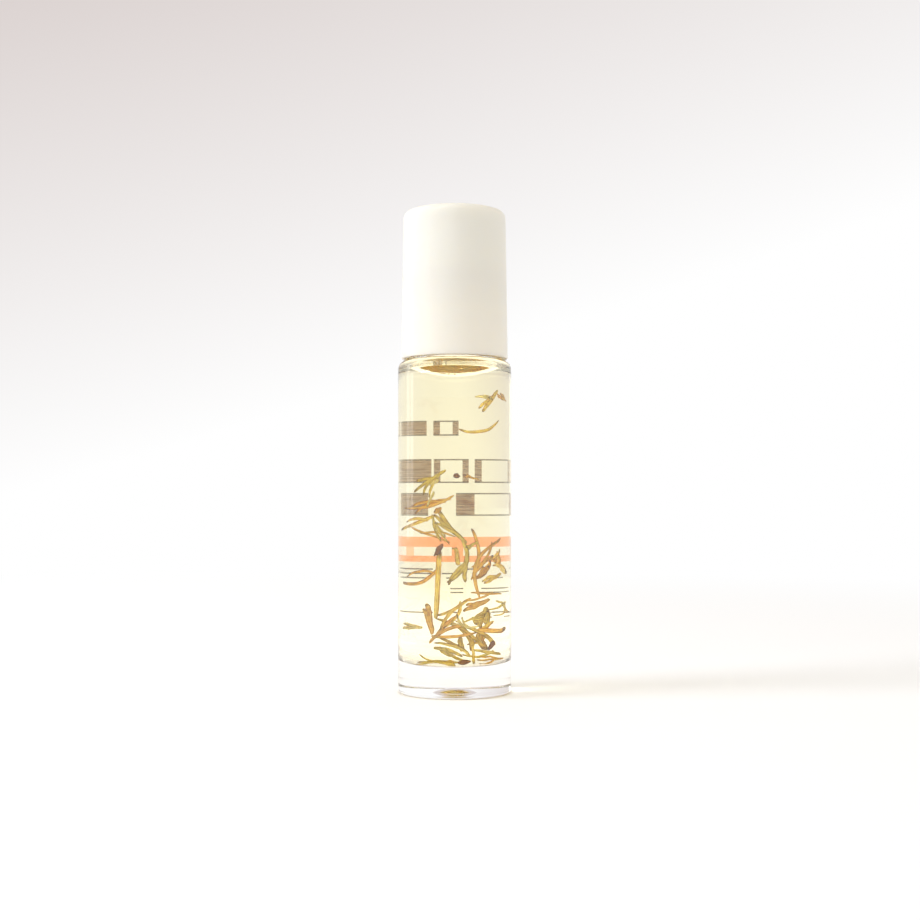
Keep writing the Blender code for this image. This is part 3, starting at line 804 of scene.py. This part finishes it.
def keep_in_room(place):
    """Moves a point back inside the chamber, as a leaf lies flat on the glass that it leans on."""
    reach = ROOM_RADIUS - KEEP_OFF_GLASS
    away = math.hypot(place.x, place.y)
    if away > reach:
        place.x, place.y = place.x * reach / away, place.y * reach / away
    place.z = max(place.z, ROOM_FLOOR + KEEP_OFF_GLASS)
    corner = FLOOR_ROUND - KEEP_OFF_GLASS
    out = math.hypot(place.x, place.y) - (ROOM_RADIUS - FLOOR_ROUND)
    below = ROOM_FLOOR + FLOOR_ROUND - place.z
    if out > 0 and below > 0 and math.hypot(out, below) > corner:
        shrink = corner / math.hypot(out, below)
        away = math.hypot(place.x, place.y)
        new_away = ROOM_RADIUS - FLOOR_ROUND + out * shrink
        place.x, place.y = place.x * new_away / away, place.y * new_away / away
        place.z = ROOM_FLOOR + FLOOR_ROUND - below * shrink
    return place


def add_strand(work, marks, seed, line, section, reach, roll, twist):
    """Rings along the line, bridged and capped. The section gives a point of the ring from (share, angle)."""
    start, end, bow, _ = line
    rings = []
    for i in range(RINGS):
        part_way = i / (RINGS - 1)
        share = -reach + (1 + 2 * reach) * part_way
        middle = start + (end - start) * share + bow * 4 * share * (1 - share)
        middle += noise.noise_vector(seed + Vector((0, share * WAVES, 0))) * WOBBLE
        tangent = ((end - start) + bow * 4 * (1 - 2 * share)).normalized()
        normal = Vector((0, -1, 0)) - tangent * Vector((0, -1, 0)).dot(tangent)
        normal.normalize()
        normal.rotate(Matrix.Rotation(roll + twist * (share - 0.5), 3, tangent))
        side = tangent.cross(normal)
        last = i in (0, RINGS - 1)
        ring = bmesh.ops.create_circle(work, cap_ends=last, radius=1, segments=RING_SIDES)["verts"]
        for point in ring:
            angle = math.atan2(point.co.y, point.co.x)
            x, y = section(part_way, angle)
            marks[point] = (0.5 + 0.5 * math.cos(angle), part_way)
            point.co = keep_in_room(middle + side * x + normal * y)
        rings.append(ring)
    for one, two in zip(rings, rings[1:]):
        edges = [e for ring in (one, two) for v in ring for e in v.link_edges if set(e.verts) <= set(ring)]
        bmesh.ops.bridge_loops(work, edges=list(dict.fromkeys(edges)))


print("a strand has", RINGS, "rings of", RING_SIDES, "points")

# %% Helper: make one piece of its strands


def grow(name, strands, material):
    """One piece of one or more strands, each given as the arguments of add_strand."""
    work = bmesh.new()
    across = work.loops.layers.uv.new("leaf")
    marks = {}
    seed = Vector((random.Random(name).uniform(0, WOBBLE_PLACES), 0, 0))
    for strand in strands:
        add_strand(work, marks, seed, **strand)
    for face in work.faces:
        for corner in face.loops:
            corner[across].uv = marks[corner.vert]
    piece = finish_mesh(name, work, sharp_angle=180, material=material, weighted=False)
    smooth = piece.modifiers.new("smooth", "SUBSURF")
    smooth.levels = smooth.render_levels = 1
    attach(piece, "bottle")
    return piece


print("finish of a strand: one step of subdivision")

# %% [markdown]
# Each kind has its own section. A blade is thin, curls towards one face and has a groove down its middle,
# and its edges are crinkled. A stem is ribbed. A bud is full, with the edges of its scales standing out a
# little.

# %% Section of a blade
SECTION_PLACES = 90  # where a piece reads the noise for its section, as for its wobble
BLADE_WIDTH = (0.78, 1.02)  # of the coarse strand's
BLADE_CURL = (0.15, 0.5)
BLADE_FULLEST = (0.7, 1.3)  # below one it is widest nearer its root
BLADE_BLUNT = (0.16, 0.34)  # the lower, the blunter are its ends
BLADE_END = 0.12  # of its width is left at its very ends
BLADE_EDGE = 0.16  # its thickness at its ends, and how much it gains in its middle
BLADE_GAIN = 0.30
CRINKLE = 0.15
CRINKLES = 13
GROOVE_DEPTH = 0.22
GROOVE_WIDTH = 0.25
GROOVE_BELOW = 0.3  # how much of the groove shows on the lower face
CURL_WAVE = 0.4
CURL_WAVES = 5
CURL_PLACE = 9  # away from where the crinkle reads the noise


def blade_section(name, half_width):
    """A thin section with a groove, curled edges and a crinkle of its own on each side."""
    draw = random.Random(name + " blade")
    wide = half_width * draw.uniform(*BLADE_WIDTH)
    curl = draw.uniform(*BLADE_CURL)
    full = draw.uniform(*BLADE_FULLEST)
    blunt = draw.uniform(*BLADE_BLUNT)
    seed = draw.uniform(0, SECTION_PLACES)

    def section(share, angle):
        outline = max(0.0, math.sin(math.pi * share**full)) ** blunt
        x, y = math.cos(angle), math.sin(angle)
        edge = seed if x > 0 else -seed
        wave = 1 + CRINKLE * noise.noise(Vector((edge, share * CRINKLES, 0)))
        width = wide * max(BLADE_END, outline) * wave
        thick = half_width * (BLADE_EDGE + BLADE_GAIN * outline)
        groove = GROOVE_DEPTH * half_width * outline * math.exp(-(x / GROOVE_WIDTH) ** 2)
        waved = 1 + CURL_WAVE * noise.noise(Vector((seed, share * CURL_WAVES, CURL_PLACE)))
        rolled = curl * width * x * x * waved
        return width * x, thick * y - rolled - (groove if y > 0 else groove * GROOVE_BELOW)

    return section


print("a blade is", BLADE_WIDTH, "of the coarse strand's width")

# %% Sections of a stem and of a bud
STEM_WIDTH = 1.02
STEM_FLAT = 0.8
STEM_KNOTS = 6
KNOT_HEIGHT = 0.16
STEM_TAPER = 0.35
TAPER_POWER = 8  # the higher, the closer to its ends it tapers
STEM_RIBS = 5
STEM_RIB_HEIGHT = 0.07
STEM_RIB_TURN = 2
BUD_WIDTH = 1.15
BUD_FLAT = 0.85
BUD_FULLEST = 0.8
BUD_BLUNT = 0.7
BUD_END = 0.05
BUD_SCALES = 4
BUD_SCALE_TURN = 7
BUD_SCALE_HEIGHT = 0.10
BUD_WRINKLE = 0.08
BUD_WRINKLES = 5


def stem_section(name, half_width):
    """A round section with ribs. It has knots along it and tapers at its very ends."""
    seed = random.Random(name + " stem").uniform(0, SECTION_PLACES)

    def section(share, angle):
        knots = 1 + KNOT_HEIGHT * noise.noise(Vector((seed, share * STEM_KNOTS, 0)))
        ends = 1 - STEM_TAPER * (abs(2 * share - 1) ** TAPER_POWER)
        ribs = 1 + STEM_RIB_HEIGHT * math.cos(STEM_RIBS * angle + STEM_RIB_TURN * share)
        size = half_width * STEM_WIDTH * knots * ends * ribs
        return size * math.cos(angle), STEM_FLAT * size * math.sin(angle)

    return section


def bud_section(name, half_width):
    """A full section. The edges of its scales wind round it."""
    seed = random.Random(name + " bud").uniform(0, SECTION_PLACES)

    def section(share, angle):
        body = max(BUD_END, math.sin(math.pi * share**BUD_FULLEST)) ** BUD_BLUNT
        scales = 1 + BUD_SCALE_HEIGHT * math.cos(BUD_SCALES * angle + BUD_SCALE_TURN * share)
        scales += BUD_WRINKLE * noise.noise(Vector((seed, share * BUD_WRINKLES, angle)))
        size = half_width * BUD_WIDTH * body * scales
        return size * math.cos(angle), BUD_FLAT * size * math.sin(angle)

    return section


print("sections are ready")

# %% [markdown]
# ## Herb colours
#
# A dried leaf is never one colour: its edges and tips go brown first, and the edges also carry painted shade
# where they roll under. The pale ribs beside its groove carry a painted highlight along the leaf, and the
# dark streaks along it are fibres together with the painted shade of its fine ridges. The pattern follows the
# leaf through its own map, across and along. A thin leaf lets about half of the light through, so it glows
# when the light is behind it.

# %% Herb materials
HERB_COLOURS = {  # the body, the edge with painted shade, and the pale rib with a painted highlight, of each
    "olive_leaf": ((0.84, 0.69, 0.07), (0.42, 0.30, 0.02), (1.0, 0.92, 0.28)),
    "gold_leaf": ((0.98, 0.78, 0.08), (0.62, 0.38, 0.02), (1.0, 0.94, 0.30)),
    "pale_leaf": ((0.98, 0.88, 0.26), (0.66, 0.50, 0.08), (1.0, 1.0, 0.55)),
    "brown_leaf": ((0.92, 0.58, 0.05), (0.46, 0.20, 0.01), (1.0, 0.82, 0.20)),
    "dark_bud": ((0.34, 0.13, 0.015), (0.14, 0.05, 0.01), (0.48, 0.22, 0.03)),
}
TIP_BROWN = (0.24, 0.09, 0.01)
TIP_STRENGTH = 1.5
# the dark of the fibres, which also serves as painted shade of the leaf's fine ridges
DARK_FIBRE_AND_SHADE = (0.36, 0.22, 0.07)
BLACK, WHITE = (0.0, 0.0, 0.0), (1.0, 1.0, 1.0)
BLOTCHES = 2600  # to a metre
FIBRE_AND_SHADE_STRETCH = (9, 5, 1)  # across a leaf and along it
RIBS = (26, 3, 1)
RIB_BUMP = 0.05 * MM
THROUGH = 0.5  # the share of light that a thin leaf lets through


def leaf_colour(tree, leaf_map, body, edge, pale_rib_and_highlight):
    """A leaf's colour: brown edges with painted shade, pale ribs with painted highlight, the groove, brown
    ends, dark fibres.
    """
    split = add_node(tree, "ShaderNodeSeparateXYZ", leaf_map)
    # Across the leaf: the edge stops are brown with painted shade, and the pale rib stops hold a painted
    # highlight.
    across = ramp(
        tree, split.outputs["X"],
        (0.04, edge), (0.20, body), (0.34, pale_rib_and_highlight), (0.50, body), (0.66, pale_rib_and_highlight), (0.80, body), (0.96, edge),
    )
    tips = ramp(tree, split.outputs["Y"], (0.0, (0.4, 0.4, 0.4)), (0.10, BLACK), (0.84, BLACK), (0.97, WHITE))
    blotches = noise_at(tree, object_place(tree), scale=BLOTCHES, detail=4.0)
    patchy = calculate(tree, "MULTIPLY", tips, blotches)
    brown = calculate(tree, "MULTIPLY", patchy, TIP_STRENGTH, use_clamp=True)
    browned = add_node(tree, "ShaderNodeMixRGB", brown, across, (*TIP_BROWN, 1), blend_type="MIX")
    # Dark streaks along the leaf: its fibres, together with the painted shade of its fine ridges.
    fibres_and_ridge_shade = ramp(tree, noise_at(tree, leaf_map, FIBRE_AND_SHADE_STRETCH, detail=3.0), (0.33, DARK_FIBRE_AND_SHADE), (0.45, WHITE))
    mottled = add_node(tree, "ShaderNodeMixRGB", 1.0, browned.outputs["Color"], fibres_and_ridge_shade, blend_type="MULTIPLY")
    return mottled.outputs["Color"]


def herb_material(slot, body, edge, pale_rib_and_highlight):
    """A dull, ribbed skin with a leaf's colours, painted highlight and shade included, which lets a share of
    the light through.
    """
    made, tree, shader = new_material(slot, roughness=0.55, ior=1.4, specular_ior_level=0.1)
    leaf_map = add_node(tree, "ShaderNodeUVMap", uv_map="leaf").outputs["UV"]
    colour = leaf_colour(tree, leaf_map, body, edge, pale_rib_and_highlight)
    bump = add_node(
        tree, "ShaderNodeBump", Strength=0.5, Distance=RIB_BUMP, Height=noise_at(tree, leaf_map, RIBS)
    ).outputs["Normal"]
    fill(tree, shader.inputs["Base Color"], colour)
    fill(tree, shader.inputs["Normal"], bump)
    through = add_node(tree, "ShaderNodeBsdfTranslucent", Color=colour, Normal=bump)
    mixed = mix_shaders(tree, THROUGH, shader.outputs["BSDF"], through.outputs["BSDF"])
    fill(tree, tree.nodes["Material Output"].inputs["Surface"], mixed)
    return made


herb_materials = {slot: herb_material(slot, *colours) for slot, colours in HERB_COLOURS.items()}
print("herb materials:", sorted(herb_materials))

# %% [markdown]
# The leaves grew close together on a twig, and they dried together. So nearly every leaf carries one to
# three leaflets, which start in it and lean away from it. A leaflet that would reach the glass is made
# shorter.

# %% Grow every herb
SECTIONS = {"leaf": blade_section, "stem": stem_section, "bud": bud_section}
REACH = {"leaf": 0.14, "stem": 0.02, "bud": 0.02}  # past the coarse strand, as a share of its length
ROLL = math.radians(28)
TWIST = math.radians(40)
LEAFLET_COUNTS = (1, 2, 2, 3)
LONE_LEAVES = ("leaf_04",)  # without leaflets
LEAFLET_ROOT = (0.05, 0.45)  # where on the leaf it starts
LEAFLET_LEAN = (math.radians(7), math.radians(25))
LEAFLET_LENGTH = (0.65, 1.0)  # of the leaf that carries it
LEAFLET_WIDTH = 0.85
LEAFLET_TILT = math.radians(12)
LEAFLET_BOW = 0.12
LEAFLET_OFF_GLASS = 0.5 * MM
PAST_ITS_END = 1.2  # how far out a leaflet is tested, in its lengths
CUT_BACK = 0.9
SHORT_LEAFLET = 1.5 * MM


def leaflet_line(line, draw):
    """The line of a leaflet that starts in a leaf, leans to one side and bows a little."""
    start, end, bow, half_width = line
    share = draw.uniform(*LEAFLET_ROOT)
    root = start + (end - start) * share + bow * 4 * share * (1 - share)
    along = (end - start) * draw.uniform(*LEAFLET_LENGTH)
    lean = draw.choice((-1, 1)) * draw.uniform(*LEAFLET_LEAN)
    along.rotate(Matrix.Rotation(lean, 3, "Y"))
    along.rotate(Matrix.Rotation(draw.uniform(-LEAFLET_TILT, LEAFLET_TILT), 3, "Z"))
    side = along.cross(Vector((0, 1, 0))) * draw.uniform(-LEAFLET_BOW, LEAFLET_BOW)
    room = ROOM_RADIUS - LEAFLET_OFF_GLASS
    while (root + along * PAST_ITS_END).xy.length > room and along.length > SHORT_LEAFLET:
        along = along * CUT_BACK
    return root, root + along, side, half_width * LEAFLET_WIDTH


slots = {part["node"]: part["material_slot"] for part in frame["record"]["subparts"]}
grown = {kind: 0 for kind in SECTIONS}
leaflets = 0
for node in sorted(frame["nodes"]):
    kind = node.split("_")[0]
    if kind not in SECTIONS:
        continue
    line = strand_line(node)
    draw = random.Random(node)
    name = "dried_" + node
    lines = [line]
    if kind == "leaf" and node not in LONE_LEAVES:
        lines += [leaflet_line(line, draw) for _ in range(draw.choice(LEAFLET_COUNTS))]
    strands = [
        {
            "line": one, "section": SECTIONS[kind](f"{name} {i}", one[3]), "reach": REACH[kind],
            "roll": draw.uniform(-ROLL, ROLL), "twist": draw.uniform(-TWIST, TWIST),
        }
        for i, one in enumerate(lines)
    ]
    piece = grow(name, strands, herb_materials[slots[node]])
    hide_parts(node)
    grown[kind] += 1
    leaflets += len(lines) - 1
print("herbs grown:", grown, "leaflets:", leaflets)

# %% [markdown]
# ## Floor and light
#
# A white table runs back into a pale wall. The picture behind the bottle is the world's colour, white at
# the table and greyer towards the top left. Only rays that look see it, straight or through the glass.
# Light itself comes from an even, slightly warm world, which is stronger in the oil so that the herbs are
# lit as brightly as in daylight, and from two lamps. The window at the left makes the long faint shadow. It
# is kept out of reflections, where its edge would be too hard. The narrow strip behind the left edge is
# seen there as an upright bright band.

# %% World
PICTURE_SLOPE = (-0.33, 0.0, 1.05)  # the picture darkens along this direction
PICTURE_START = 0.105
PICTURE_SPAN = 0.36
DARK_PICTURE = (0.70, 0.635, 0.62)
WORLD_LIGHT = (1.0, 0.94, 0.86)
WORLD_STRENGTH = 0.88
STRENGTH_IN_OIL = 1.5
SKINS_TO_PLUG = 4  # how often a ray enters or leaves glass on its way to the plug in the neck and out again
SKINS_TO_HERB = 6  # the same for a herb, where the oil adds its own skin each way
BEFORE_DULL = 0.5  # a ray that has met fewer dull surfaces than this has met none


def when_seen(tree, unseen, seen, output):
    """Joins a shader for rays that light and one for rays that look, before they meet any dull surface."""
    path = add_node(tree, "ShaderNodeLightPath")
    looking = path.outputs["Is Camera Ray"]
    for kind in ("Is Glossy Ray", "Is Transmission Ray"):
        looking = calculate(tree, "MAXIMUM", looking, path.outputs[kind])
    before = calculate(tree, "LESS_THAN", path.outputs["Diffuse Depth"], BEFORE_DULL)
    looking = calculate(tree, "MULTIPLY", looking, before)
    fill(tree, output.inputs["Surface"], mix_shaders(tree, looking, unseen, seen))


world = bpy.data.worlds.new("studio")
bpy.context.scene.world = world
world.use_nodes = True
tree = world.node_tree
tree.nodes.clear()
place = add_node(tree, "ShaderNodeTexCoord").outputs["Generated"]
slope = add_node(tree, "ShaderNodeVectorMath", place, PICTURE_SLOPE, operation="DOT_PRODUCT")
darker = add_node(
    tree, "ShaderNodeMapRange", Value=slope.outputs["Value"], From_Min=PICTURE_START,
    From_Max=PICTURE_START + PICTURE_SPAN,
)
picture = ramp(tree, darker.outputs["Result"], (0, (1, 1, 1)), (1, DARK_PICTURE))
looks = add_node(tree, "ShaderNodeBackground", Color=picture, Strength=1.0)
path = add_node(tree, "ShaderNodeLightPath")
strength = add_node(
    tree, "ShaderNodeMapRange", Value=path.outputs["Transmission Depth"], From_Min=SKINS_TO_PLUG,
    From_Max=SKINS_TO_HERB, To_Min=WORLD_STRENGTH, To_Max=STRENGTH_IN_OIL,
)
lights = add_node(
    tree, "ShaderNodeBackground", Color=(*WORLD_LIGHT, 1), Strength=strength.outputs["Result"]
)
output = add_node(tree, "ShaderNodeOutputWorld")
when_seen(tree, lights.outputs["Background"], looks.outputs["Background"], output)
print("world is ready")

# %% Floor
FLOOR_RADIUS = 4.0
FLOOR_NEAR = 0.10  # from here to the next, the table fades to plain white
FLOOR_FAR = 0.40
FLOOR_LIFT = 0.06  # the light of the bright room that the lamps leave out

floor_material, tree, shader = new_material(
    "table_white", base_color=(0.90, 0.92, 0.95), roughness=0.9, specular_ior_level=0.0
)
reach = add_node(tree, "ShaderNodeVectorMath", object_place(tree), operation="LENGTH")
far = add_node(
    tree, "ShaderNodeMapRange", Value=reach.outputs["Value"], From_Min=FLOOR_NEAR, From_Max=FLOOR_FAR,
    interpolation_type="SMOOTHSTEP",
)
lift = add_node(tree, "ShaderNodeEmission", Strength=FLOOR_LIFT)
lifted = add_node(tree, "ShaderNodeAddShader", shader.outputs["BSDF"], lift.outputs["Emission"])
white_out = add_node(tree, "ShaderNodeEmission", Strength=1.0)
seen = mix_shaders(tree, far.outputs["Result"], lifted.outputs["Shader"], white_out.outputs["Emission"])
when_seen(tree, shader.outputs["BSDF"], seen, tree.nodes["Material Output"])

floor_work = bmesh.new()
bmesh.ops.create_circle(floor_work, cap_ends=True, radius=FLOOR_RADIUS, segments=96)
floor = finish_mesh("table", floor_work, material=floor_material, weighted=False)
print("table:", FLOOR_RADIUS, "m in radius")

# %% Lamps


def add_lamp(name, shape, size, power, colour, distance, rise, turn):
    """An area lamp that faces the origin. Its turn is from the left to the front, or else to the back."""
    data = bpy.data.lights.new(name, "AREA")
    data.shape = shape
    data.size, data.size_y = size
    data.energy = power
    data.color = colour
    made = bpy.data.objects.new(name, data)
    flat = distance * math.cos(rise)
    made.location = (-flat * math.cos(turn), -flat * math.sin(turn), distance * math.sin(rise))
    made.rotation_euler = (-made.location.normalized()).to_track_quat("-Z", "Y").to_euler()
    bpy.context.scene.collection.objects.link(made)
    return made


window = add_lamp(
    "window", "DISK", size=(0.42, 0.42), power=4.1, colour=(0.89, 0.92, 1.0), distance=0.9,
    rise=math.radians(30), turn=math.radians(14),
)
add_lamp(
    "edge_strip", "RECTANGLE", size=(0.16, 0.9), power=0.7, colour=(1.0, 1.0, 1.0), distance=0.9,
    rise=math.radians(2), turn=math.radians(-18),
)
window.visible_glossy = False

# %% [markdown]
# ## Light through the bottle
#
# Light that looks up through the oil is mirrored by the bubble, runs down through the base and comes back
# from the table, which makes the golden lens under the neck. That takes far more turns than the default
# allows. With too few, the lens and the heel of the bottle go black. Sharp reflections after a dull surface
# are softened by default too, and that is turned off, because it dulls the glass and darkens the herbs
# behind it.

# %% How many turns light may take
LIGHT_TURNS = 48
cycles = bpy.context.scene.cycles
cycles.max_bounces = cycles.transmission_bounces = cycles.transparent_max_bounces = LIGHT_TURNS
cycles.glossy_bounces = LIGHT_TURNS // 2
cycles.diffuse_bounces = LIGHT_TURNS // 6
cycles.blur_glossy = 0.0
print("turns of light:", cycles.max_bounces)
